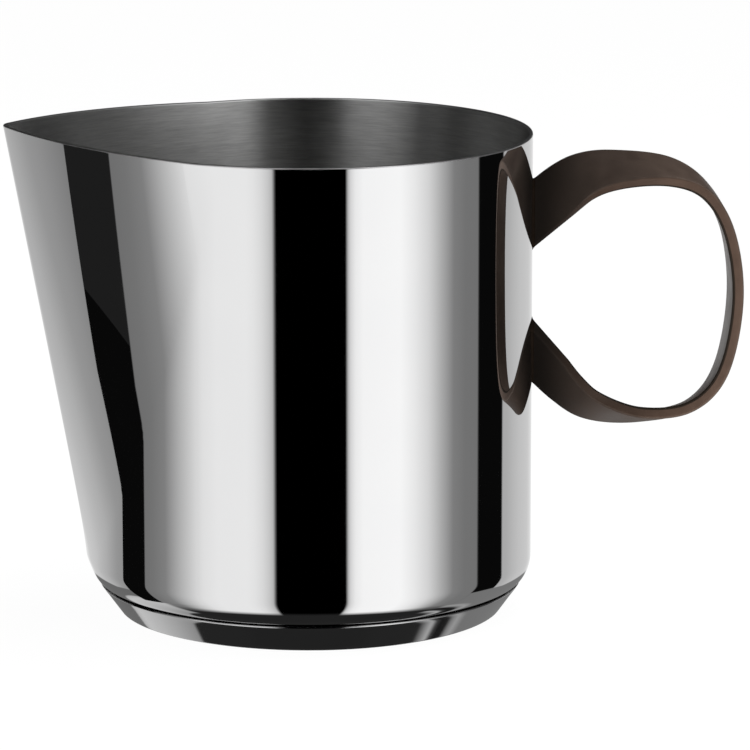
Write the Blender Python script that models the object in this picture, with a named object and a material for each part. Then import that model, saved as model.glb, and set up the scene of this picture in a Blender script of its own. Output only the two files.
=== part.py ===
"""Small steel melting pot: drawn vessel with a pouring spout, capsule base and a twisted strap handle.

The origin is the centre of the base's underside, +Z is up, +X points to the handle and the spout is at -X.
"""

import math

import bmesh
import bpy
from mathutils import Vector

MM = 0.001
GAP = 0.3 * MM  # clearance between pieces that touch
CORNER_CUT = 1.0 - math.sqrt(0.5)  # a rounded corner's middle lies this share of its radius inside

# Vessel: one drawn steel sheet, round in plan, pulled out to a spout on one side
POT_RADIUS = 52.5 * MM
RIM_HEIGHT = 113.8 * MM
SHEET = 0.8 * MM
KNUCKLE_RADIUS = 4.55 * MM
KNUCKLE_TOP = 11.2 * MM
OUTLINE_STEPS = 72
WALL_ROWS = 10
WALL_ROW_POWER = 1.3  # above 1 it crowds the rows towards the knuckle
KNUCKLE_ROWS = 4

# Spout: two flat flanks, tangent to the round wall, meet in a rounded ridge that leans outwards
FLANK_RADIUS = 100.0 * MM
SPOUT_LEAN = 0.186
SPOUT_START = 12.0 * MM
SPOUT_SOFTNESS = 8.0 * MM
SPOUT_FADE = (7.5 * MM, 12.0 * MM)
RIDGE_RADIUS_LOW = 14.0 * MM
RIDGE_RADIUS_RIM = 5.5 * MM
LIP_RISE = 1.7 * MM
LIP_RISE_X = (-25.0 * MM, -71.5 * MM)

# Capsule base: magnetic steel cap pressed over an aluminium heat spreader
CAP_SHEET = 0.8 * MM
CAP_LIP_THICKNESS = 0.6 * MM
CAP_FOOT_RADIUS = 45.4 * MM
CAP_LIP_RADIUS = 50.6 * MM
CAP_LIP_HEIGHT = 7.2 * MM
CAP_LIP_SLOPE = 0.45 * MM
CAP_EDGE = 0.8 * MM
CAP_STEPS = 72

# Handle: one flat strip bent to a D, turned on edge where it meets the wall and flat at the far side
STRAP_WIDTH = 12.5 * MM
STRAP_THICKNESS = 2.7 * MM
STRAP_EDGE = 0.6 * MM
STRAP_ROUTE = (
    (47.0, 91.0, 95.0),
    (52.5, 94.4, 102.0),
    (55.3, 96.5, 83.0),
    (63.6, 102.6, 51.0),
    (72.6, 104.7, 29.0),
    (84.6, 104.2, 14.0),
    (93.1, 99.6, 0.0),
    (98.6, 89.7, -2.0),
    (100.4, 74.0, -3.0),
    (97.3, 56.9, 0.0),
    (89.9, 48.0, 9.0),
    (78.0, 45.9, 17.0),
    (67.1, 48.0, 34.0),
    (60.5, 52.6, 43.0),
    (52.5, 61.5, 57.0),
    (47.0, 66.8, 64.0),
)  # mm from the pot's axis, mm above the base, degrees of twist; both ends start inside the wall
STRAP_STATIONS = 60
ROUTE_SAMPLES = 2000
CUTTER_STEPS = 120

# Weld nuggets that fuse the strip's two ends to the wall
WELD_THICKNESS = 0.8 * MM
WELD_INSET = 0.5 * MM
STRAP_STAND_OFF = WELD_THICKNESS + 2.0 * GAP


def clear_scene():
    for obj in list(bpy.data.objects):
        bpy.data.objects.remove(obj, do_unlink=True)


def steel(name, color, roughness, metallic=1.0):
    material = bpy.data.materials.new(name)
    material.use_nodes = True
    shader = material.node_tree.nodes["Principled BSDF"]
    shader.inputs["Base Color"].default_value = (*color, 1.0)
    shader.inputs["Roughness"].default_value = roughness
    shader.inputs["Metallic"].default_value = metallic
    return material


def make_object(name, mesh_builder, material, parent, sharp_angle=35.0):
    mesh = bpy.data.meshes.new(name)
    mesh_builder.to_mesh(mesh)
    mesh_builder.free()
    mesh.shade_smooth()
    mesh.set_sharp_from_angle(angle=math.radians(sharp_angle))
    if material:
        mesh.materials.append(material)
    obj = bpy.data.objects.new(name, mesh)
    obj.parent = parent
    bpy.context.scene.collection.objects.link(obj)
    return obj


def smooth_step(value, start, end):
    t = min(max((value - start) / (end - start), 0.0), 1.0)
    return t * t * (3.0 - 2.0 * t)


def loft(rings):
    """Closed solid through rings of points; the first and last ring close to one point each."""
    builder = bmesh.new()
    loops = [[builder.verts.new(point) for point in ring] for ring in rings]
    for low, high in zip(loops, loops[1:]):
        count = max(len(low), len(high))
        for i in range(count):
            j = (i + 1) % count
            corners = [low[i % len(low)], low[j % len(low)], high[j % len(high)], high[i % len(high)]]
            builder.faces.new(list(dict.fromkeys(corners)))
    bmesh.ops.recalc_face_normals(builder, faces=builder.faces)
    return builder


# Vessel


def spout_reach(height):
    """Distance from the pot's axis to the spout's ridge."""
    above = height - SPOUT_START
    lean = SPOUT_LEAN * (above + math.hypot(above, SPOUT_SOFTNESS)) / 2.0
    return POT_RADIUS + lean * smooth_step(height, *SPOUT_FADE)


def ridge_radius(height):
    share = min(max(height / RIM_HEIGHT, 0.0), 1.0)
    return RIDGE_RADIUS_LOW + (RIDGE_RADIUS_RIM - RIDGE_RADIUS_LOW) * share


def outline_point(angle, height, inset):
    """Point of the level section whose outward normal is turned by angle from the spout's direction.

    The section is the round wall, a flank arc tangent to it, and the ridge arc tangent to both flanks.
    """
    ridge = ridge_radius(height)
    ridge_x = spout_reach(height) - ridge
    offset = FLANK_RADIUS - POT_RADIUS
    cosine = ((FLANK_RADIUS - ridge) ** 2 - ridge_x**2 - offset**2) / (2.0 * ridge_x * offset)
    flank_start = math.acos(min(cosine, 1.0))
    flank_x, flank_y = offset * math.cos(flank_start), offset * math.sin(flank_start)
    flank_end = math.atan2(flank_y, ridge_x + flank_x)
    if abs(angle) >= flank_start:
        centre_x, centre_y, radius = 0.0, 0.0, POT_RADIUS
    elif abs(angle) >= flank_end:
        centre_x, centre_y, radius = flank_x, math.copysign(flank_y, -angle), FLANK_RADIUS
    else:
        centre_x, centre_y, radius = -ridge_x, 0.0, ridge
    radius -= inset
    return centre_x - radius * math.cos(angle), centre_y + radius * math.sin(angle)


def lip_rise(x):
    """How much higher than the rest the rim is at the spout."""
    start, end = LIP_RISE_X
    return LIP_RISE * min(max((x - start) / (end - start), 0.0), 1.0)


def vessel_ring(height, inset):
    """One ring of the wall, lifted towards the spout so that the top ring follows the rim."""
    share = max(height - KNUCKLE_TOP, 0.0) / (RIM_HEIGHT - KNUCKLE_TOP)
    ring = []
    for step in range(OUTLINE_STEPS):
        angle = math.tau * (step + 0.5) / OUTLINE_STEPS - math.pi
        level = height + share * lip_rise(outline_point(angle, height, inset)[0])
        ring.append((*outline_point(angle, level, inset), level))
    return ring


def knuckle(radius, start_inset):
    """(height, inset) pairs down the quarter turn from the wall to the floor."""
    for row in range(KNUCKLE_ROWS + 1):
        angle = math.pi / 2.0 * row / KNUCKLE_ROWS
        yield KNUCKLE_TOP - radius * math.sin(angle), start_inset + radius * (1.0 - math.cos(angle))


def build_vessel(parent):
    heights = [
        KNUCKLE_TOP + (RIM_HEIGHT - KNUCKLE_TOP) * (row / WALL_ROWS) ** WALL_ROW_POWER
        for row in range(1, WALL_ROWS + 1)
    ]
    outside = list(knuckle(KNUCKLE_RADIUS, 0.0))[::-1] + [(height, 0.0) for height in heights]
    inside = [(height, SHEET) for height in heights[::-1]] + list(knuckle(KNUCKLE_RADIUS - SHEET, SHEET))
    rings = [[(0.0, 0.0, outside[0][0])]]
    rings += [vessel_ring(height, inset) for height, inset in outside + inside]
    rings += [[(0.0, 0.0, inside[-1][0])]]
    material = steel("polished_steel", (0.72, 0.72, 0.73), 0.08)
    return make_object("vessel_body", loft(rings), material, parent)


# Capsule base


def turned(profile, steps):
    """Solid turned about the pot's axis from (radius, height) points that start and end on it."""
    rings = []
    for radius, height in profile:
        angles = [math.tau * step / steps for step in range(steps if radius else 1)]
        rings.append([(radius * math.cos(a), radius * math.sin(a), height) for a in angles])
    return loft(rings)


def cap_radius(height):
    """Outer radius of the cap's tapered side."""
    return CAP_FOOT_RADIUS + (CAP_LIP_RADIUS - CAP_FOOT_RADIUS) * height / CAP_LIP_HEIGHT


def build_base_cap(parent):
    lip_inner = CAP_LIP_RADIUS - CAP_LIP_THICKNESS
    profile = [
        (0.0, 0.0),
        (CAP_FOOT_RADIUS - CAP_EDGE, 0.0),
        (CAP_FOOT_RADIUS - CORNER_CUT * CAP_EDGE, CORNER_CUT * CAP_EDGE),
        (cap_radius(CAP_EDGE), CAP_EDGE),
        (CAP_LIP_RADIUS, CAP_LIP_HEIGHT),
        (lip_inner, CAP_LIP_HEIGHT - CAP_LIP_SLOPE),
        (cap_radius(CAP_SHEET) - CAP_SHEET, CAP_SHEET),
        (0.0, CAP_SHEET),
    ]
    material = steel("base_steel", (0.62, 0.62, 0.63), 0.12)
    return make_object("base_cap", turned(profile, CAP_STEPS), material, parent)


def build_core_disc(parent):
    bottom = CAP_SHEET + GAP
    top = KNUCKLE_TOP - KNUCKLE_RADIUS - GAP
    bottom_radius = cap_radius(bottom) - CAP_SHEET - 2.0 * GAP
    top_radius = POT_RADIUS - KNUCKLE_RADIUS - GAP
    profile = [(0.0, bottom), (bottom_radius, bottom), (top_radius, top), (0.0, top)]
    material = steel("core_aluminium", (0.80, 0.81, 0.82), 0.35)
    return make_object("core_disc", turned(profile, CAP_STEPS), material, parent)


# Handle


def spline_point(points, position):
    """Catmull-Rom curve through the points; position runs from 0 to the number of spans."""
    span = min(int(position), len(points) - 2)
    t = position - span
    p1, p2 = points[span], points[span + 1]
    p0 = points[span - 1] if span > 0 else 2.0 * p1 - p2
    p3 = points[span + 2] if span + 2 < len(points) else 2.0 * p2 - p1
    return 0.5 * (
        2.0 * p1
        + (p2 - p0) * t
        + (2.0 * p0 - 5.0 * p1 + 4.0 * p2 - p3) * t**2
        + (3.0 * p1 - p0 - 3.0 * p2 + p3) * t**3
    )


def strap_stations():
    """Evenly spaced (centre, twist) along the strip's middle line, from the upper to the lower end."""
    route = [Vector((x * MM, math.radians(twist), z * MM)) for x, z, twist in STRAP_ROUTE]
    spans = len(route) - 1
    samples = [spline_point(route, spans * i / ROUTE_SAMPLES) for i in range(ROUTE_SAMPLES + 1)]
    travelled = [0.0]
    for a, b in zip(samples, samples[1:]):
        travelled.append(travelled[-1] + math.hypot(b.x - a.x, b.z - a.z))
    stations, sample = [], 0
    for station in range(STRAP_STATIONS + 1):
        target = travelled[-1] * station / STRAP_STATIONS
        while travelled[sample + 1] < target and sample < ROUTE_SAMPLES - 1:
            sample += 1
        share = (target - travelled[sample]) / (travelled[sample + 1] - travelled[sample])
        x, twist, z = samples[sample].lerp(samples[sample + 1], share)
        stations.append((Vector((x, 0.0, z)), twist))
    return stations


def strap_section(width, thickness, edge):
    """Corners of the strip's cross-section as (along the width, along the thickness)."""
    w, t = width / 2.0, thickness / 2.0
    quarter = [(w, t - edge), (w - CORNER_CUT * edge, t - CORNER_CUT * edge), (w - edge, t)]
    corners = quarter + [(-a, b) for a, b in quarter[::-1]]
    return corners + [(-a, -b) for a, b in corners]


def strap_frames():
    """Centre, direction, width direction and thickness direction at each station of the strip."""
    stations = strap_stations()
    last = len(stations) - 1
    frames = []
    for i, (centre, twist) in enumerate(stations):
        tangent = (stations[min(i + 1, last)][0] - stations[max(i - 1, 0)][0]).normalized()
        outward = Vector((-tangent.z, 0.0, tangent.x))
        across = Vector((0.0, math.cos(twist), 0.0)) + math.sin(twist) * outward
        through = Vector((0.0, -math.sin(twist), 0.0)) + math.cos(twist) * outward
        frames.append((centre, tangent, across, through))
    return frames


def build_wall_cutter(radius, parent):
    """Guide cylinder that trims the strip's ends to the round of the wall."""
    profile = [(0.0, 0.0), (radius, 0.0), (radius, RIM_HEIGHT), (0.0, RIM_HEIGHT)]
    cutter = make_object("wall_cutter", turned(profile, CUTTER_STEPS), None, parent)
    cutter.hide_render = True
    cutter.display_type = "WIRE"
    return cutter


def build_strap(parent):
    section = strap_section(STRAP_WIDTH, STRAP_THICKNESS, STRAP_EDGE)
    frames = strap_frames()
    rings = [[frames[0][0]]]
    for centre, _, across, through in frames:
        rings.append([centre + a * across + b * through for a, b in section])
    rings.append([frames[-1][0]])
    material = steel("brown_coated_steel", (0.060, 0.043, 0.034), 0.38)
    strap = make_object("handle_strap", loft(rings), material, parent)
    trim = strap.modifiers.new("trim_to_wall", "BOOLEAN")
    trim.operation = "DIFFERENCE"
    trim.solver = "EXACT"
    trim.object = build_wall_cutter(POT_RADIUS + STRAP_STAND_OFF, parent)
    return strap


def slide_to_wall(point, direction, distance):
    """The point moved along the direction until it is this far outside the round wall."""
    along = direction.x**2 + direction.y**2
    half = point.x * direction.x + point.y * direction.y
    rest = point.x**2 + point.y**2 - (POT_RADIUS + distance) ** 2
    root = math.sqrt(half**2 - along * rest)
    return point + direction * ((root if direction.x > 0.0 else -root) - half) / along


def build_weld(name, frame, parent):
    """Thin pad that follows the wall behind one end of the strip."""
    centre, tangent, across, through = frame
    section = strap_section(STRAP_WIDTH - 2 * WELD_INSET, STRAP_THICKNESS - 2 * WELD_INSET, STRAP_EDGE)
    footprint = [centre + a * across + b * through for a, b in section]
    near, far = GAP, GAP + WELD_THICKNESS
    rings = [[slide_to_wall(centre, tangent, near)]]
    rings += [[slide_to_wall(point, tangent, distance) for point in footprint] for distance in (near, far)]
    rings += [[slide_to_wall(centre, tangent, far)]]
    material = steel("weld_steel", (0.45, 0.43, 0.41), 0.45)
    return make_object(name, loft(rings), material, parent)


def main():
    clear_scene()
    pot = bpy.data.objects.new("melting_pot", None)
    bpy.context.scene.collection.objects.link(pot)
    build_vessel(pot)
    build_base_cap(pot)
    build_core_disc(pot)
    build_strap(pot)
    reaching_wall = [frame for frame in strap_frames() if frame[0].x > POT_RADIUS]
    build_weld("upper_handle_weld", reaching_wall[0], pot)
    build_weld("lower_handle_weld", reaching_wall[-1], pot)


main()
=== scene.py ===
"""Looks of the small steel melting pot: polished vessel, capsule base and brown coated strap handle.

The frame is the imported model's: origin under the centre of the base, +Z up, +X towards the handle and
-X towards the spout. The camera stands on the -Y side.
"""

import math

import bmesh
import bpy
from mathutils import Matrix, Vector


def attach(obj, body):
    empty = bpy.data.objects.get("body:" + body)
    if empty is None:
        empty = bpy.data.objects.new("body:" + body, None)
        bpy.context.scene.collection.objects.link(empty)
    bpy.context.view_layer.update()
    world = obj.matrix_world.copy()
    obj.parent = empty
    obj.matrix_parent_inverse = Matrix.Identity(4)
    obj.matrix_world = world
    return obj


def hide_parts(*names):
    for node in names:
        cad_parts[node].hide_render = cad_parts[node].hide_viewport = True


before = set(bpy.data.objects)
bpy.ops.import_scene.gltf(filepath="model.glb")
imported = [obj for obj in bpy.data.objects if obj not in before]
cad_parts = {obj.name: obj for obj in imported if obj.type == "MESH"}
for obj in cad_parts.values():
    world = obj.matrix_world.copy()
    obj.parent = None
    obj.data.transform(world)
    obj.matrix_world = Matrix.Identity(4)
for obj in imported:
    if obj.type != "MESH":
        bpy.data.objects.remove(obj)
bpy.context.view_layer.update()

MM = 0.001
ROOT = "root"
SHARP_ANGLE = 40.0  # degrees between faces from which an edge stays sharp

# Vessel
POT_RADIUS = 52.5 * MM
RIM_HEIGHT = 113.8 * MM
SHEET = 0.8 * MM
KNUCKLE_WIDTH = 4.1 * MM  # half axes of the quarter ellipse between the wall and the floor
KNUCKLE_HEIGHT = 6.15 * MM
KNUCKLE_TOP = 12.8 * MM
OUTLINE_STEPS = 360
WALL_ROWS = 48
WALL_ROW_POWER = 1.3  # above 1 it crowds the rows towards the knuckle
KNUCKLE_ROWS = 20
RIM_ROWS = 8
RIM_SUPPORT = 0.1 * MM  # the wall's last row is this far under the rim, to keep the rim's edge crisp
FLOOR_ROWS = 6
OUTSIDE, INNER_WALL, RIM, INNER_FLOOR = range(4)  # zones of the sheet, in the order of its materials

# Spout
FLANK_RADIUS = 100.0 * MM
SPOUT_LEAN = 0.186  # how far the ridge runs out for each unit up
SPOUT_START = 12.0 * MM  # height from which it leans
SPOUT_SOFTNESS = 8.0 * MM  # height over which the lean sets in
SPOUT_FADE = (7.5 * MM, 12.0 * MM)  # heights between which the round foot turns into the spout
RIDGE_RADIUS_LOW = 14.0 * MM
RIDGE_RADIUS_RIM = 5.5 * MM
LIP_RISE = 1.7 * MM
LIP_RISE_X = (-25.0 * MM, -71.5 * MM)  # along X, between which the rim rises

# Capsule base
CAP_SHEET = 0.8 * MM
CAP_LIP_THICKNESS = 0.6 * MM
CAP_FOOT_RADIUS = 45.4 * MM
CAP_LIP_RADIUS = 50.6 * MM
CAP_LIP_HEIGHT = 7.2 * MM
CAP_FOOT_ROUND = 0.8 * MM
CAP_LIP_ROUND = 0.15 * MM
CAP_LIP_BEVEL = 0.45 * MM  # how far the lip's top edge slopes down towards the wall
CAP_STEPS = 360
CAP_SIDE_ROWS = 6
CORNER_ROWS = 6

# Handle
STRAP_WIDTH = 12.5 * MM
STRAP_THICKNESS = 2.7 * MM
STRAP_EDGE = 0.6 * MM
STRAP_ROUTE = (
    (47.0, 91.0, 95.0),
    (52.5, 94.4, 102.0),
    (55.3, 96.5, 83.0),
    (63.6, 102.6, 51.0),
    (72.6, 104.7, 29.0),
    (84.6, 104.2, 14.0),
    (93.1, 99.6, 0.0),
    (98.6, 89.7, -2.0),
    (100.4, 74.0, -3.0),
    (97.3, 56.9, 0.0),
    (89.9, 48.0, 9.0),
    (78.0, 45.9, 17.0),
    (67.1, 48.0, 34.0),
    (60.5, 52.6, 43.0),
    (52.5, 61.5, 57.0),
    (47.0, 66.8, 64.0),
)  # mm from the pot's axis, mm above the base, degrees of twist
STRAP_STATIONS = 240
ROUTE_SAMPLES = 4000
STRAP_CORNER_STEPS = 6
NARROW_STEPS = 2  # how much of each rounded corner counts as narrow side
STRAP_END_DEPTH = 0.2 * MM  # how far the strip's ends sink into the wall's sheet
WELD_FLARE = 0.35 * MM
WELD_LENGTH = 0.6 * MM
WELD_CLEARANCE = 0.02 * MM  # how far the fillet's thin end stands off the strip
WELD_SHARP_ANGLE = 60.0
WELD_ROWS = 5

# Coating: darker near the pot, which is painted shade, and duller there; lighter far from it, which is
# painted light
COAT_SHADE_AND_DULLING = (54.0 * MM, 70.0 * MM)  # distances from the pot's axis
# painted shade: share of the coat's colour that is left at the pot's wall
COAT_PAINTED_SHADE_SHARE = 0.08
COAT_BURNT_ROUGHENING = 0.35
# painted light: the coat's colour brightens between these distances from the pot's axis
COAT_PAINTED_LIGHT_SPAN = (70.0 * MM, 90.0 * MM)
COAT_PAINTED_LIGHT_GAIN = 1.9
COAT_SHINE = 0.4
COAT_TINT = (1.0, 0.84, 0.72, 1.0)
COATS = (
    ("brown_coat_face", (0.024, 0.017, 0.0135), (0.050, 0.036, 0.029), (0.34, 0.44)),
    ("brown_coat_edge", (0.025, 0.0160, 0.0118), (0.045, 0.0285, 0.0210), (0.36, 0.46)),
    # the inner corners' near-black coat is painted shade: a dark line along the strip's inner edges
    ("brown_coat_painted_shade_corner", (0.004, 0.003, 0.002), (0.010, 0.007, 0.005), (0.50, 0.60)),
)  # wide sides, narrow sides, inner corners: name, darkest colour, lightest colour, roughness range
WIDE_COAT, NARROW_COAT, PAINTED_SHADE_CORNER_COAT = range(len(COATS))

# Finishes
EVEN = (1.0, 1.0, 1.0)  # noise that isn't stretched
BRUSH_LINES = (180.0, 180.0, 2800.0)  # waves per metre along each axis
BRUSH_STREAKS = (30.0, 30.0, 1100.0)
BRUSH_LINE_SHARE = 0.7
WIPE_MARKS = (30.0, 30.0, 900.0)
TURNING_MARKS = (20.0, 20.0, 1800.0)
ROLLING_MARKS = (20.0, 900.0, 900.0)
NOISE_RANGE = (0.3, 0.7)  # where most of the noise's values lie

# Camera
CAMERA_PLACE = (15.442 * MM, -1196.93 * MM, 304.39 * MM)
CAMERA_TILT = 11.749  # degrees below level
CAMERA_SENSOR = 36.0
CAMERA_LENS = 247.88
CAMERA_REACH = 20.0

# Studio: what the pot mirrors in each direction, as (degrees, display tone 0-255)
STEEL_GAIN = 1.36  # makes up for what polished steel absorbs

# Just below level, round from the camera at 0 to behind the pot at 180
RIGHT_TONES = (
    (0, 0), (19.2, 0), (20.2, 176), (21.4, 210), (24, 233), (28, 243), (48, 246), (56, 232), (64, 210),
    (72, 170), (80, 124), (88, 113), (97, 112), (98, 8), (118.8, 8), (119.8, 168), (124, 169), (132, 180),
    (140, 187), (156, 190), (164, 198), (168, 204), (172, 208), (180, 210),
)
LEFT_TONES = (
    (0, 0), (16.6, 0), (17.4, 120), (18.0, 178), (20, 197), (22, 208), (24, 217), (28, 227), (32, 231),
    (48, 230), (56, 223), (64, 200), (72, 166), (80, 122), (84, 114), (94, 110), (114, 142), (120, 148),
    (132, 170), (140, 178), (148, 186), (160, 190), (166, 205), (172, 214), (180, 216),
)

# Above level, round from behind the pot past the left, the camera at 0 and the right
UPPER_TONES = (
    (-180, 35), (-145, 38), (-127, 36), (-112, 12), (-92, 12), (-84, 45), (-76, 88), (-72, 80), (-66, 40),
    (-58, 125), (-49, 178), (-38, 200), (-24, 190), (-14, 3), (25, 3), (33, 205), (46, 245), (57, 195),
    (66, 165), (75, 110), (84, 72), (98, 72), (120, 66), (145, 42), (180, 35),
)

# On the far side, up from straight below at -90 to level at 0
RIGHT_LOW_TONES = (
    (-90, 35), (-59, 35), (-57, 120), (-55, 165), (-53.5, 60), (-52, 25), (-49.5, 30), (-48, 120),
    (-46, 150), (-43, 112), (0, 112),
)
LEFT_LOW_TONES = (
    (-90, 35), (-57.5, 35), (-56.5, 140), (-50, 163), (-44, 178), (-37, 188), (-34.5, 175), (-33.5, 100),
    (0, 98),
)
FRONT_LOW_TONE = 33  # everything low down on the camera's side

# Where one set of tones gives way to the next
UPPER_FADE = (-6.0, 4.0)  # degrees above level between which the tones above level take over
LOW_EDGE = (-26.0, -25.0)  # degrees above level where the far side's low tones end
LOW_EDGE_RISE = 8.5  # degrees by which that edge is higher behind the pot
LOW_EDGE_TURN = (130.0, 168.0)  # degrees round from the camera between which it rises
FRONT_LOW_FADE = (-52.0, -42.0)  # the same edge on the camera's side
BACK_FADE = (90.0, 100.0)  # degrees round from the camera where the low tones change

# Soft lights, in metres and watts
OVERHEAD_PLACE = (0.25, 0.1, 0.75)
OVERHEAD_POWER = 6.0
BOUNCE_PLACE = (0.25, -0.35, -0.30)
BOUNCE_POWER = 6.0
SOFT_LIGHT_TARGET = (0.075, 0.0, 0.08)
SOFT_LIGHT_SIZE = 0.6

# Floor
FLOOR_SIZE = 4.0
FLOOR_GREY = (0.06, 0.06, 0.06, 1.0)  # the part that takes a shadow
FLOOR_GLOW = 0.97

# Card beside the spout that the flank mirrors: a dark strip at its far edge, then a soft gradient
CARD_X = -100.0 * MM
CARD_OUTLINE = (
    (-92.0, -45.0), (-5.0, -45.0), (-5.0, 45.0), (-15.0, 100.0), (-17.0, 114.0), (-92.0, 114.0),
)  # mm along Y, mm up
CARD_TONES = ((-92, 214), (-89, 213), (-70, 176), (-53, 126), (-40, 114), (-31.6, 110), (-31, 8), (0, 8))
CARD_TILT = 10.0  # mm that the strip leans towards the camera between these heights
CARD_TILT_HEIGHTS = (45.0, 100.0)
CARD_TILT_FADE = (-95.0, -50.0, 0.15, 1.0)  # first and last mm along Y, share of the lean at each
CARD_CHARCOAL = 28
CARD_CHARCOAL_EDGE = ((-36.0, 52.0), (-10.0, 65.0))  # mm along Y, mm up


def smooth_step(value, start, end):
    """0 before start, 1 after end, and a smooth climb between."""
    t = min(max((value - start) / (end - start), 0.0), 1.0)
    return t * t * (3.0 - 2.0 * t)


# Mesh building


def loft(rings, strips=None):
    """Closed solid through rings of points; strips gives the material of the faces after each ring."""
    builder = bmesh.new()
    loops = [[builder.verts.new(point) for point in ring] for ring in rings]
    for row, (low, high) in enumerate(zip(loops, loops[1:])):
        count = max(len(low), len(high))
        for i in range(count):
            j = (i + 1) % count
            corners = [low[i % len(low)], low[j % len(low)], high[j % len(high)], high[i % len(high)]]
            face = builder.faces.new(list(dict.fromkeys(corners)))
            if strips:
                face.material_index = strips(row, i)
    bmesh.ops.recalc_face_normals(builder, faces=builder.faces)
    return builder


def make_piece(name, builder, materials, slot, *nodes, sharp_angle=SHARP_ANGLE):
    """Object from the finished mesh, riding on the pot and standing for these CAD nodes."""
    mesh = bpy.data.meshes.new(name)
    builder.to_mesh(mesh)
    builder.free()
    mesh.shade_smooth()
    mesh.set_sharp_from_angle(angle=math.radians(sharp_angle))
    for material in materials:
        mesh.materials.append(material)
    piece = bpy.data.objects.new(name, mesh)
    bpy.context.scene.collection.objects.link(piece)
    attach(piece, ROOT)
    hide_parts(*nodes)
    return piece


# Vessel


def spout_reach(height):
    """Distance from the pot's axis to the spout's ridge."""
    above = height - SPOUT_START
    lean = SPOUT_LEAN * (above + math.hypot(above, SPOUT_SOFTNESS)) / 2.0
    return POT_RADIUS + lean * smooth_step(height, *SPOUT_FADE)


def ridge_radius(height):
    """Rounding of the spout's ridge, which tightens towards the rim."""
    share = min(max(height / RIM_HEIGHT, 0.0), 1.0)
    return RIDGE_RADIUS_LOW + (RIDGE_RADIUS_RIM - RIDGE_RADIUS_LOW) * share


def outline_point(angle, height, inset):
    """Point of the level section whose outward normal is turned by angle from the spout's direction."""
    ridge = ridge_radius(height)
    ridge_x = spout_reach(height) - ridge
    offset = FLANK_RADIUS - POT_RADIUS
    cosine = ((FLANK_RADIUS - ridge) ** 2 - ridge_x**2 - offset**2) / (2.0 * ridge_x * offset)
    flank_start = math.acos(min(cosine, 1.0))
    flank_x, flank_y = offset * math.cos(flank_start), offset * math.sin(flank_start)
    flank_end = math.atan2(flank_y, ridge_x + flank_x)
    if abs(angle) >= flank_start:
        centre_x, centre_y, radius = 0.0, 0.0, POT_RADIUS
    elif abs(angle) >= flank_end:
        centre_x, centre_y, radius = flank_x, math.copysign(flank_y, -angle), FLANK_RADIUS
    else:
        centre_x, centre_y, radius = -ridge_x, 0.0, ridge
    radius -= inset
    return centre_x - radius * math.cos(angle), centre_y + radius * math.sin(angle)


def lip_rise(x):
    """How far the rim rises on its way out to the spout's tip."""
    start, end = LIP_RISE_X
    return LIP_RISE * min(max((x - start) / (end - start), 0.0), 1.0)


def vessel_ring(height, inset):
    """One ring of the wall, lifted towards the spout so that the top ring follows the rim."""
    share = max(height - KNUCKLE_TOP, 0.0) / (RIM_HEIGHT - KNUCKLE_TOP)
    ring = []
    for step in range(OUTLINE_STEPS):
        angle = math.tau * (step + 0.5) / OUTLINE_STEPS - math.pi
        level = height + share * lip_rise(outline_point(angle, height, inset)[0])
        ring.append((*outline_point(angle, level, inset), level))
    return ring


def knuckle(inset):
    """(height, inset) pairs down the quarter ellipse from wall to floor, this far inside the sheet."""
    for row in range(KNUCKLE_ROWS + 1):
        angle = math.pi / 2.0 * row / KNUCKLE_ROWS
        height = KNUCKLE_TOP - (KNUCKLE_HEIGHT - inset) * math.sin(angle)
        yield height, inset + (KNUCKLE_WIDTH - inset) * (1.0 - math.cos(angle))


def rounded_rim():
    """(height, inset) pairs over the half-round top edge of the sheet, from outside to inside."""
    half = SHEET / 2.0
    for row in range(RIM_ROWS + 1):
        angle = math.pi * row / RIM_ROWS
        yield RIM_HEIGHT - half + half * math.sin(angle), half - half * math.cos(angle)


def build_vessel(materials):
    """Sheet from under the floor up the outside, over the rim and down to the inside of the floor.

    The materials are those of the outside, the inner wall, the rim and the inside of the floor.
    """
    wall_top = RIM_HEIGHT - SHEET / 2.0
    shares = [(row / WALL_ROWS) ** WALL_ROW_POWER for row in range(1, WALL_ROWS)]
    heights = [KNUCKLE_TOP + (wall_top - KNUCKLE_TOP) * share for share in shares]
    heights.append(wall_top - RIM_SUPPORT)
    outside = list(knuckle(0.0))[::-1] + [(height, 0.0) for height in heights]
    rim = list(rounded_rim())
    inside = [(height, SHEET) for height in heights[::-1]] + list(knuckle(SHEET))
    floor_height, floor_inset = inside[-1]
    step = (POT_RADIUS - floor_inset) / FLOOR_ROWS
    floor = [(floor_height, floor_inset + step * row) for row in range(1, FLOOR_ROWS)]
    rings = [[(0.0, 0.0, outside[0][0])]]
    rings += [vessel_ring(height, inset) for height, inset in outside + rim + inside + floor]
    rings += [[(0.0, 0.0, floor_height)]]
    rim_from = len(outside) + 1
    inside_from = len(outside) + len(rim)
    floor_from = len(rings) - len(floor) - KNUCKLE_ROWS // 2
    zones = [OUTSIDE] * rim_from + [RIM] * (inside_from - rim_from)
    zones += [INNER_WALL] * (floor_from - inside_from) + [INNER_FLOOR] * (len(rings) - floor_from)
    builder = loft(rings, lambda row, _: zones[row])
    return make_piece("vessel", builder, materials, "polished_steel", "vessel_body")


# Capsule base


def turned(profile, steps):
    """Solid turned about the pot's axis from (radius, height) points that start and end on it."""
    rings = []
    for radius, height in profile:
        angles = [math.tau * step / steps for step in range(steps if radius else 1)]
        rings.append([(radius * math.cos(a), radius * math.sin(a), height) for a in angles])
    return loft(rings)


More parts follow.
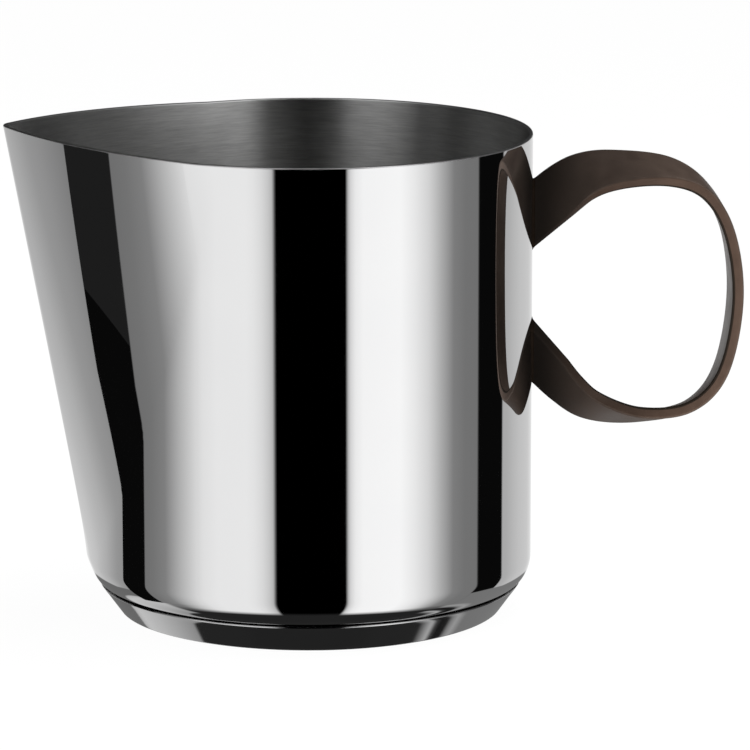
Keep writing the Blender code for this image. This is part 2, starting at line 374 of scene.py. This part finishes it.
def rounded_corner(before, corner, after, radius):
    """Points of an arc of this radius that rounds the corner between two straight runs."""
    before, corner, after = Vector(before), Vector(corner), Vector(after)
    back, ahead = (before - corner).normalized(), (after - corner).normalized()
    half = back.angle(ahead) / 2.0
    centre = corner + (back + ahead).normalized() * radius / math.sin(half)
    start = (corner + back * radius / math.tan(half) - centre).normalized()
    end = (corner + ahead * radius / math.tan(half) - centre).normalized()
    spokes = [start.slerp(end, row / CORNER_ROWS) for row in range(CORNER_ROWS + 1)]
    return [tuple(centre + spoke * radius) for spoke in spokes]


def build_base_cap(material):
    """Shallow pan pressed on under the floor, with flared sides and a thin lip."""
    slope = (CAP_LIP_RADIUS - CAP_FOOT_RADIUS) / CAP_LIP_HEIGHT
    foot, lip = (CAP_FOOT_RADIUS, 0.0), (CAP_LIP_RADIUS, CAP_LIP_HEIGHT)
    lip_inner = (CAP_LIP_RADIUS - CAP_LIP_THICKNESS, CAP_LIP_HEIGHT - CAP_LIP_BEVEL)
    inner_foot = (CAP_FOOT_RADIUS + slope * CAP_SHEET - CAP_SHEET, CAP_SHEET)
    side_start = rounded_corner((0.0, 0.0), foot, lip, CAP_FOOT_ROUND)
    side_end = rounded_corner(foot, lip, lip_inner, CAP_LIP_ROUND)
    side = []
    for row in range(1, CAP_SIDE_ROWS):
        side.append(tuple(Vector(side_start[-1]).lerp(Vector(side_end[0]), row / CAP_SIDE_ROWS)))
    profile = [(0.0, 0.0), *side_start, *side, *side_end]
    profile += rounded_corner(lip, lip_inner, inner_foot, CAP_LIP_ROUND)
    profile += [inner_foot, (0.0, CAP_SHEET)]
    return make_piece("capsule_base", turned(profile, CAP_STEPS), (material,), "base_steel", "base_cap")


# Handle


def spline_point(points, position):
    """Catmull-Rom curve through the points; position runs from 0 to the number of spans."""
    span = min(int(position), len(points) - 2)
    t = position - span
    p1, p2 = points[span], points[span + 1]
    p0 = points[span - 1] if span > 0 else 2.0 * p1 - p2
    p3 = points[span + 2] if span + 2 < len(points) else 2.0 * p2 - p1
    return 0.5 * (
        2.0 * p1
        + (p2 - p0) * t
        + (2.0 * p0 - 5.0 * p1 + 4.0 * p2 - p3) * t**2
        + (3.0 * p1 - p0 - 3.0 * p2 + p3) * t**3
    )


def strap_stations():
    """Evenly spaced (centre, twist) along the strip's middle line, from the upper to the lower end."""
    route = [Vector((x * MM, math.radians(twist), z * MM)) for x, z, twist in STRAP_ROUTE]
    spans = len(route) - 1
    samples = [spline_point(route, spans * i / ROUTE_SAMPLES) for i in range(ROUTE_SAMPLES + 1)]
    travelled = [0.0]
    for a, b in zip(samples, samples[1:]):
        travelled.append(travelled[-1] + math.hypot(b.x - a.x, b.z - a.z))
    stations, sample = [], 0
    for station in range(STRAP_STATIONS + 1):
        target = travelled[-1] * station / STRAP_STATIONS
        while travelled[sample + 1] < target and sample < ROUTE_SAMPLES - 1:
            sample += 1
        share = (target - travelled[sample]) / (travelled[sample + 1] - travelled[sample])
        x, twist, z = samples[sample].lerp(samples[sample + 1], share)
        stations.append((Vector((x, 0.0, z)), twist))
    return stations


def strap_frames():
    """Centre, direction, width direction and thickness direction at each station of the strip."""
    stations = strap_stations()
    last = len(stations) - 1
    frames = []
    for i, (centre, twist) in enumerate(stations):
        tangent = (stations[min(i + 1, last)][0] - stations[max(i - 1, 0)][0]).normalized()
        outward = Vector((-tangent.z, 0.0, tangent.x))
        across = Vector((0.0, math.cos(twist), 0.0)) + math.sin(twist) * outward
        through = Vector((0.0, -math.sin(twist), 0.0)) + math.cos(twist) * outward
        frames.append((centre, tangent, across, through))
    return frames


def strap_section(grow=0.0):
    """Rounded rectangle of the strip's cross-section as (along the width, along the thickness)."""
    w, t = STRAP_WIDTH / 2.0 + grow, STRAP_THICKNESS / 2.0 + grow
    edge = STRAP_EDGE + grow
    quarter = []
    for step in range(STRAP_CORNER_STEPS + 1):
        angle = math.pi / 2.0 * step / STRAP_CORNER_STEPS
        quarter.append((w - edge * (1.0 - math.cos(angle)), t - edge * (1.0 - math.sin(angle))))
    half = quarter + [(-a, b) for a, b in quarter[::-1]]
    return half + [(-a, -b) for a, b in half]


def strap_zone(_, i):
    """Index of the coat that a face of the strip has, which depends on its place round the section."""
    corner, step = divmod(i, STRAP_CORNER_STEPS + 1)
    starts_narrow = corner % 2 == 0
    from_narrow = step if starts_narrow else STRAP_CORNER_STEPS - 1 - step
    if step == STRAP_CORNER_STEPS:
        return WIDE_COAT if starts_narrow else NARROW_COAT
    # the corners on the strip's inner side get the painted shade coat
    if corner >= 2:
        return PAINTED_SHADE_CORNER_COAT
    return NARROW_COAT if from_narrow < NARROW_STEPS else WIDE_COAT


def slide_to_wall(point, direction, distance):
    """The point moved along the direction until it is this far outside the round wall."""
    along = direction.x**2 + direction.y**2
    half = point.x * direction.x + point.y * direction.y
    rest = point.x**2 + point.y**2 - (POT_RADIUS + distance) ** 2
    root = math.sqrt(half**2 - along * rest)
    return point + direction * ((root if direction.x > 0.0 else -root) - half) / along


def strap_ring(frame_at, section):
    """The section's points at this station."""
    centre, _, across, through = frame_at
    return [centre + a * across + b * through for a, b in section]


def clear_of_wall(frame_at, section):
    """Whether the whole section at this station stands outside the wall and its weld."""
    nearest = min(math.hypot(point.x, point.y) for point in strap_ring(frame_at, section))
    return nearest > POT_RADIUS + WELD_LENGTH


def strap_end(frame_at, section):
    """Middle and outline of the strip's end, which is cut to the wall and sunk a little into its sheet."""
    centre, tangent, _, _ = frame_at
    outline = [slide_to_wall(point, tangent, -STRAP_END_DEPTH) for point in strap_ring(frame_at, section)]
    return [slide_to_wall(centre, tangent, -STRAP_END_DEPTH)], outline


def build_strap(coats, section, frames):
    """The whole strip, from its upper end on the wall round to its lower one."""
    upper_middle, upper_outline = strap_end(frames[0], section)
    lower_middle, lower_outline = strap_end(frames[-1], section)
    stretch = [strap_ring(frame_at, section) for frame_at in frames]
    builder = loft([upper_middle, upper_outline, *stretch, lower_outline, lower_middle], strap_zone)
    return make_piece("strap_handle", builder, coats, "brown_coated_steel", "handle_strap")


def build_weld(name, node, frame_at, material):
    """Fillet of weld metal with a concave face, round the foot of the strip."""
    centre, tangent, _, _ = frame_at
    rings = [*strap_end(frame_at, strap_section(WELD_FLARE))]
    for row in range(WELD_ROWS + 1):
        angle = math.pi / 2.0 * row / WELD_ROWS
        ring = strap_ring(frame_at, strap_section(WELD_FLARE * (1.0 - math.sin(angle)) + WELD_CLEARANCE))
        distance = WELD_LENGTH * (1.0 - math.cos(angle))
        rings.append([slide_to_wall(point, tangent, distance) for point in ring])
    rings.append([slide_to_wall(centre, tangent, WELD_LENGTH)])
    return make_piece(name, loft(rings), (material,), "weld_steel", node, sharp_angle=WELD_SHARP_ANGLE)


# Materials


def add(tree, kind, **settings):
    """New shader node of this kind."""
    node = tree.nodes.new("ShaderNode" + kind)
    for name, value in settings.items():
        setattr(node, name, value)
    return node


def feed(tree, socket, value):
    """Links the value to the socket if it is a socket itself, and sets it otherwise."""
    if isinstance(value, bpy.types.NodeSocket):
        tree.links.new(value, socket)
    else:
        socket.default_value = value


def calculate(tree, operation, *values):
    """Result of a math operation on sockets or plain numbers."""
    node = add(tree, "Math", operation=operation)
    for socket, value in zip(node.inputs, values):
        feed(tree, socket, value)
    return node.outputs[0]


def remap(tree, value, start, end, low=0.0, high=1.0, smooth=False):
    """Value stretched from start..end to low..high, and held at both ends."""
    node = add(tree, "MapRange", interpolation_type="SMOOTHSTEP" if smooth else "LINEAR")
    names = ("Value", "From Min", "From Max", "To Min", "To Max")
    for name, setting in zip(names, (value, start, end, low, high)):
        feed(tree, node.inputs[name], setting)
    return node.outputs["Result"]


def blend_values(tree, share, first, second):
    """First value where share is 0 and second where it is 1."""
    node = add(tree, "Mix", data_type="FLOAT")
    for socket, value in zip((node.inputs[0], node.inputs[2], node.inputs[3]), (share, first, second)):
        feed(tree, socket, value)
    return node.outputs[0]


def split(tree, vector):
    """The three coordinates of the vector."""
    node = add(tree, "SeparateXYZ")
    tree.links.new(vector, node.inputs[0])
    return node.outputs


def surface_point(tree):
    """The surface point in the object's own coordinates, in metres."""
    return add(tree, "TexCoord").outputs["Object"]


def ringed_point(tree):
    """The surface point with its height replaced by its distance from the pot's axis."""
    x, y, _ = split(tree, surface_point(tree))
    square = calculate(tree, "MULTIPLY_ADD", x, x, calculate(tree, "MULTIPLY", y, y))
    reach = calculate(tree, "SQRT", square)
    point = add(tree, "CombineXYZ")
    for socket, value in zip(point.inputs, (x, y, reach)):
        feed(tree, socket, value)
    return point.outputs[0]


def noise(tree, stretch, scale, detail=3.0, roughness=0.5, place=surface_point):
    """Noise over the place, in metres, squeezed by a factor along each axis."""
    mapping = add(tree, "Mapping")
    mapping.inputs["Scale"].default_value = stretch
    texture = add(tree, "TexNoise")
    tree.links.new(place(tree), mapping.inputs["Vector"])
    tree.links.new(mapping.outputs["Vector"], texture.inputs["Vector"])
    texture.inputs["Scale"].default_value = scale
    texture.inputs["Detail"].default_value = detail
    texture.inputs["Roughness"].default_value = roughness
    return texture.outputs["Fac"]


def color_ramp(tree, value, dark, light):
    """Colour that runs from dark at 0 to light at 1."""
    node = add(tree, "ValToRGB")
    node.color_ramp.elements[0].color = (*dark, 1.0)
    node.color_ramp.elements[1].color = (*light, 1.0)
    tree.links.new(value, node.inputs["Fac"])
    return node.outputs["Color"]


def bump(tree, height, strength, distance):
    node = add(tree, "Bump")
    node.inputs["Strength"].default_value = strength
    node.inputs["Distance"].default_value = distance
    tree.links.new(height, node.inputs["Height"])
    return node.outputs["Normal"]


def new_material(name):
    """Material, its node tree and its principled shader."""
    material = bpy.data.materials.new(name)
    material.use_nodes = True
    tree = material.node_tree
    return material, tree, tree.nodes["Principled BSDF"]


def color_by(tree, shader, pattern, dark, light):
    feed(tree, shader.inputs["Base Color"], color_ramp(tree, pattern, dark, light))


def roughen_by(tree, shader, pattern, smooth, rough):
    feed(tree, shader.inputs["Roughness"], remap(tree, pattern, *NOISE_RANGE, smooth, rough))


def emboss_by(tree, shader, pattern, strength, distance):
    feed(tree, shader.inputs["Normal"], bump(tree, pattern, strength, distance))


def polished_steel():
    """Mirror-bright stainless steel with faint polishing haze and wipe marks."""
    material, tree, shader = new_material("polished_steel_mirror")
    haze = noise(tree, EVEN, 45.0, detail=4.0)
    marks = noise(tree, WIPE_MARKS, 1.0, detail=2.0)
    color_by(tree, shader, haze, (0.715, 0.715, 0.72), (0.745, 0.745, 0.745))
    roughen_by(tree, shader, haze, 0.015, 0.035)
    emboss_by(tree, shader, marks, 0.02, 0.02 * MM)
    shader.inputs["Metallic"].default_value = 1.0
    return material


def ground_rim():
    """Softly ground top edge of the sheet."""
    material, tree, shader = new_material("rim_steel_ground")
    grain = noise(tree, EVEN, 700.0, detail=3.0)
    color_by(tree, shader, grain, (0.68, 0.68, 0.68), (0.80, 0.80, 0.80))
    roughen_by(tree, shader, grain, 0.30, 0.40)
    emboss_by(tree, shader, grain, 0.05, 0.02 * MM)
    shader.inputs["Metallic"].default_value = 1.0
    return material


def satin_steel(name, place):
    """Brushed inside of the pot: fine brush lines that spread highlights across themselves."""
    material, tree, shader = new_material(name)
    lines = noise(tree, BRUSH_LINES, 1.0, detail=3.0, roughness=0.65, place=place)
    broad = noise(tree, BRUSH_STREAKS, 1.0, detail=2.0, place=place)
    streaks = blend_values(tree, BRUSH_LINE_SHARE, broad, lines)
    color_by(tree, shader, streaks, (0.40, 0.40, 0.40), (1.0, 1.0, 0.99))
    roughen_by(tree, shader, lines, 0.28, 0.36)
    emboss_by(tree, shader, lines, 0.12, 0.02 * MM)
    tangent = add(tree, "Tangent", direction_type="RADIAL", axis="Z")
    tree.links.new(tangent.outputs["Tangent"], shader.inputs["Tangent"])
    shader.inputs["Metallic"].default_value = 1.0
    shader.inputs["Anisotropic"].default_value = 0.95
    shader.inputs["Anisotropic Rotation"].default_value = 0.25
    return material


def base_steel():
    """Pressed magnetic steel of the capsule, a little less bright than the vessel, with turning marks."""
    material, tree, shader = new_material("base_steel_pressed")
    haze = noise(tree, EVEN, 60.0, detail=4.0)
    marks = noise(tree, TURNING_MARKS, 1.0, detail=3.0)
    color_by(tree, shader, haze, (0.67, 0.67, 0.675), (0.72, 0.72, 0.72))
    roughen_by(tree, shader, haze, 0.045, 0.075)
    emboss_by(tree, shader, marks, 0.06, 0.03 * MM)
    shader.inputs["Metallic"].default_value = 1.0
    return material


def core_aluminium():
    """Rolled aluminium of the heat spreader, sealed inside the capsule."""
    material, tree, shader = new_material("core_aluminium_rolled")
    grain = noise(tree, ROLLING_MARKS, 1.0, detail=4.0)
    color_by(tree, shader, grain, (0.74, 0.75, 0.76), (0.84, 0.85, 0.86))
    roughen_by(tree, shader, grain, 0.3, 0.42)
    emboss_by(tree, shader, grain, 0.15, 0.05 * MM)
    shader.inputs["Metallic"].default_value = 1.0
    return material


def brown_coat(name, dark, light, roughness):
    """Baked brown coating with an orange-peel surface, with painted shade darkening its colour near the
    welds and painted light brightening it far out.
    """
    material, tree, shader = new_material(name)
    tone = noise(tree, EVEN, 260.0, detail=5.0, roughness=0.6)
    peel = noise(tree, EVEN, 1500.0, detail=2.0)
    x, _, _ = split(tree, surface_point(tree))
    # painted shade: the colour darkens towards the pot's wall
    painted_shade = remap(tree, x, *COAT_SHADE_AND_DULLING, COAT_PAINTED_SHADE_SHARE, 1.0, smooth=True)
    # painted light: the colour brightens far from the pot
    painted_light = remap(tree, x, *COAT_PAINTED_LIGHT_SPAN, 1.0, COAT_PAINTED_LIGHT_GAIN, smooth=True)
    color = add(tree, "VectorMath", operation="SCALE")
    feed(tree, color.inputs["Vector"], color_ramp(tree, tone, dark, light))
    feed(tree, color.inputs["Scale"], calculate(tree, "MULTIPLY", painted_shade, painted_light))
    feed(tree, shader.inputs["Base Color"], color.outputs["Vector"])
    shader.inputs["Specular IOR Level"].default_value = COAT_SHINE
    shader.inputs["Specular Tint"].default_value = COAT_TINT
    scorch = remap(tree, x, *COAT_SHADE_AND_DULLING, COAT_BURNT_ROUGHENING, 0.0, smooth=True)
    gloss = remap(tree, tone, *NOISE_RANGE, *roughness)
    feed(tree, shader.inputs["Roughness"], calculate(tree, "ADD", gloss, scorch))
    emboss_by(tree, shader, peel, 0.15, 0.03 * MM)
    return material


def weld_steel():
    """Dark heat-stained weld metal with a rippled surface."""
    material, tree, shader = new_material("weld_steel_stained")
    ripples = noise(tree, EVEN, 1300.0, detail=3.0)
    stain = noise(tree, EVEN, 500.0, detail=3.0)
    color_by(tree, shader, stain, (0.004, 0.003, 0.002), (0.012, 0.008, 0.006))
    roughen_by(tree, shader, stain, 0.4, 0.6)
    emboss_by(tree, shader, ripples, 0.3, 0.06 * MM)
    shader.inputs["Specular IOR Level"].default_value = 0.0
    return material


# Studio


def linear(tone):
    """Linear brightness of a display tone from 0 to 255."""
    share = tone / 255.0
    return share / 12.92 if share <= 0.04045 else ((share + 0.055) / 1.055) ** 2.4


def tone_ramp(tree, value, stops):
    """Brightness along a list of (value, tone) stops."""
    node = add(tree, "ValToRGB")
    elements = node.color_ramp.elements
    start, end = stops[0][0], stops[-1][0]
    for i, (place, tone) in enumerate(stops):
        share = (place - start) / (end - start)
        element = elements[i] if i < 2 else elements.new(share)
        element.position = share
        element.color = (*[linear(tone)] * 3, 1.0)
    tree.links.new(remap(tree, value, start, end), node.inputs["Fac"])
    return node.outputs["Color"]


def build_world():
    """Light tent round the pot, which the camera itself sees as plain white."""
    world = bpy.data.worlds.new("light_tent")
    bpy.context.scene.world = world
    world.use_nodes = True
    tree = world.node_tree
    tree.nodes.clear()
    x, y, z = split(tree, add(tree, "TexCoord").outputs["Generated"])
    turn = calculate(tree, "DEGREES", calculate(tree, "ARCTAN2", x, calculate(tree, "MULTIPLY", y, -1.0)))
    away = calculate(tree, "ABSOLUTE", turn)
    height = calculate(tree, "DEGREES", calculate(tree, "ARCSINE", z))
    on_right = calculate(tree, "GREATER_THAN", turn, 0.0)
    left_level = tone_ramp(tree, away, LEFT_TONES)
    right_level = tone_ramp(tree, away, RIGHT_TONES)
    level = blend_values(tree, on_right, left_level, right_level)
    left_low = tone_ramp(tree, height, LEFT_LOW_TONES)
    right_low = tone_ramp(tree, height, RIGHT_LOW_TONES)
    back_low = blend_values(tree, on_right, left_low, right_low)
    dip = remap(tree, away, *LOW_EDGE_TURN, 0.0, -LOW_EDGE_RISE)
    over_edge = remap(tree, calculate(tree, "ADD", height, dip), *LOW_EDGE)
    back = blend_values(tree, over_edge, back_low, level)
    front = blend_values(tree, remap(tree, height, *FRONT_LOW_FADE), linear(FRONT_LOW_TONE), level)
    lower = blend_values(tree, remap(tree, away, *BACK_FADE, smooth=True), front, back)
    upper = tone_ramp(tree, turn, UPPER_TONES)
    tent = blend_values(tree, remap(tree, height, *UPPER_FADE, smooth=True), lower, upper)
    light = add(tree, "Background")
    feed(tree, light.inputs["Color"], tent)
    light.inputs["Strength"].default_value = STEEL_GAIN
    backdrop = add(tree, "Background")
    backdrop.inputs["Color"].default_value = (1.0, 1.0, 1.0, 1.0)
    mix = add(tree, "MixShader")
    feed(tree, mix.inputs[0], add(tree, "LightPath").outputs["Is Camera Ray"])
    tree.links.new(light.outputs[0], mix.inputs[1])
    tree.links.new(backdrop.outputs[0], mix.inputs[2])
    tree.links.new(mix.outputs[0], add(tree, "OutputWorld").inputs["Surface"])


def hide_from_all_but(obj, *kinds):
    """Leaves the object visible to these kinds of rays only."""
    for kind in ("camera", "diffuse", "glossy", "transmission", "volume_scatter", "shadow"):
        setattr(obj, "visible_" + kind, kind in kinds)


def build_spout_card():
    """Upright card just left of the spout, which shows only as a reflection in polished metal."""
    mesh = bpy.data.meshes.new("spout_card")
    points = [(CARD_X, y * MM, z * MM) for y, z in CARD_OUTLINE]
    mesh.from_pydata(points, [], [tuple(range(len(points)))])
    material = bpy.data.materials.new("spout_card")
    material.use_nodes = True
    tree = material.node_tree
    tree.nodes.clear()
    _, y, z = split(tree, surface_point(tree))
    along = calculate(tree, "DIVIDE", y, MM)
    height = calculate(tree, "DIVIDE", z, MM)
    lean = remap(tree, height, *CARD_TILT_HEIGHTS, 0.0, CARD_TILT)
    share = remap(tree, along, *CARD_TILT_FADE)
    tone = tone_ramp(tree, calculate(tree, "MULTIPLY_ADD", lean, share, along), CARD_TONES)
    (y0, z0), (y1, z1) = CARD_CHARCOAL_EDGE
    slope = (z1 - z0) / (y1 - y0)
    edge = calculate(tree, "MULTIPLY_ADD", along, slope, z0 - y0 * slope)
    above = calculate(tree, "GREATER_THAN", height, edge)
    charcoal = calculate(tree, "MULTIPLY", above, linear(CARD_CHARCOAL))
    light = add(tree, "Emission")
    feed(tree, light.inputs["Color"], calculate(tree, "MAXIMUM", tone, charcoal))
    light.inputs["Strength"].default_value = STEEL_GAIN
    tree.links.new(light.outputs[0], add(tree, "OutputMaterial").inputs["Surface"])
    mesh.materials.append(material)
    card = bpy.data.objects.new("spout_card", mesh)
    bpy.context.scene.collection.objects.link(card)
    hide_from_all_but(card, "glossy")


def build_floor():
    """Plain near-white floor that only the camera sees, with a faint contact shadow."""
    mesh = bpy.data.meshes.new("floor")
    corners = [(x * FLOOR_SIZE, y * FLOOR_SIZE, 0.0) for x, y in ((-1, -1), (1, -1), (1, 1), (-1, 1))]
    mesh.from_pydata(corners, [], [(0, 1, 2, 3)])
    material = bpy.data.materials.new("floor_white")
    material.use_nodes = True
    shader = material.node_tree.nodes["Principled BSDF"]
    shader.inputs["Base Color"].default_value = FLOOR_GREY
    shader.inputs["Roughness"].default_value = 1.0
    shader.inputs["Specular IOR Level"].default_value = 0.0
    shader.inputs["Emission Color"].default_value = (1.0, 1.0, 1.0, 1.0)
    shader.inputs["Emission Strength"].default_value = FLOOR_GLOW
    mesh.materials.append(material)
    floor = bpy.data.objects.new("floor", mesh)
    bpy.context.scene.collection.objects.link(floor)
    hide_from_all_but(floor, "camera")


def build_soft_light(name, place, power):
    """Large soft light aimed at the handle, which metal doesn't mirror."""
    data = bpy.data.lights.new(name, "AREA")
    data.size = SOFT_LIGHT_SIZE
    data.energy = power
    light = bpy.data.objects.new(name, data)
    light.location = place
    aim = Vector(SOFT_LIGHT_TARGET) - Vector(place)
    light.rotation_euler = aim.to_track_quat("-Z", "Y").to_euler()
    light.visible_glossy = False
    light.visible_camera = False
    bpy.context.scene.collection.objects.link(light)


def build_camera():
    data = bpy.data.cameras.new("camera")
    data.sensor_width = CAMERA_SENSOR
    data.lens = CAMERA_LENS
    data.clip_end = CAMERA_REACH
    camera = bpy.data.objects.new("camera", data)
    camera.location = CAMERA_PLACE
    camera.rotation_euler = (math.radians(90.0 - CAMERA_TILT), 0.0, 0.0)
    bpy.context.scene.collection.objects.link(camera)
    bpy.context.scene.camera = camera


def main():
    bpy.context.scene.view_settings.view_transform = "Standard"
    build_camera()
    build_world()
    build_floor()
    build_spout_card()
    build_soft_light("overhead_light", OVERHEAD_PLACE, OVERHEAD_POWER)
    build_soft_light("bounce_light", BOUNCE_PLACE, BOUNCE_POWER)
    inner_wall = satin_steel("satin_steel_wall", surface_point)
    inner_floor = satin_steel("satin_steel_floor", ringed_point)
    build_vessel((polished_steel(), inner_wall, ground_rim(), inner_floor))
    build_base_cap(base_steel())
    core_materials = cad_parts["core_disc"].data.materials
    core_materials.clear()
    core_materials.append(core_aluminium())
    section = strap_section()
    frames = [frame_at for frame_at in strap_frames() if clear_of_wall(frame_at, section)]
    build_strap([brown_coat(*coat) for coat in COATS], section, frames)
    weld = weld_steel()
    build_weld("upper_weld", "upper_handle_weld", frames[0], weld)
    build_weld("lower_weld", "lower_handle_weld", frames[-1], weld)


main()
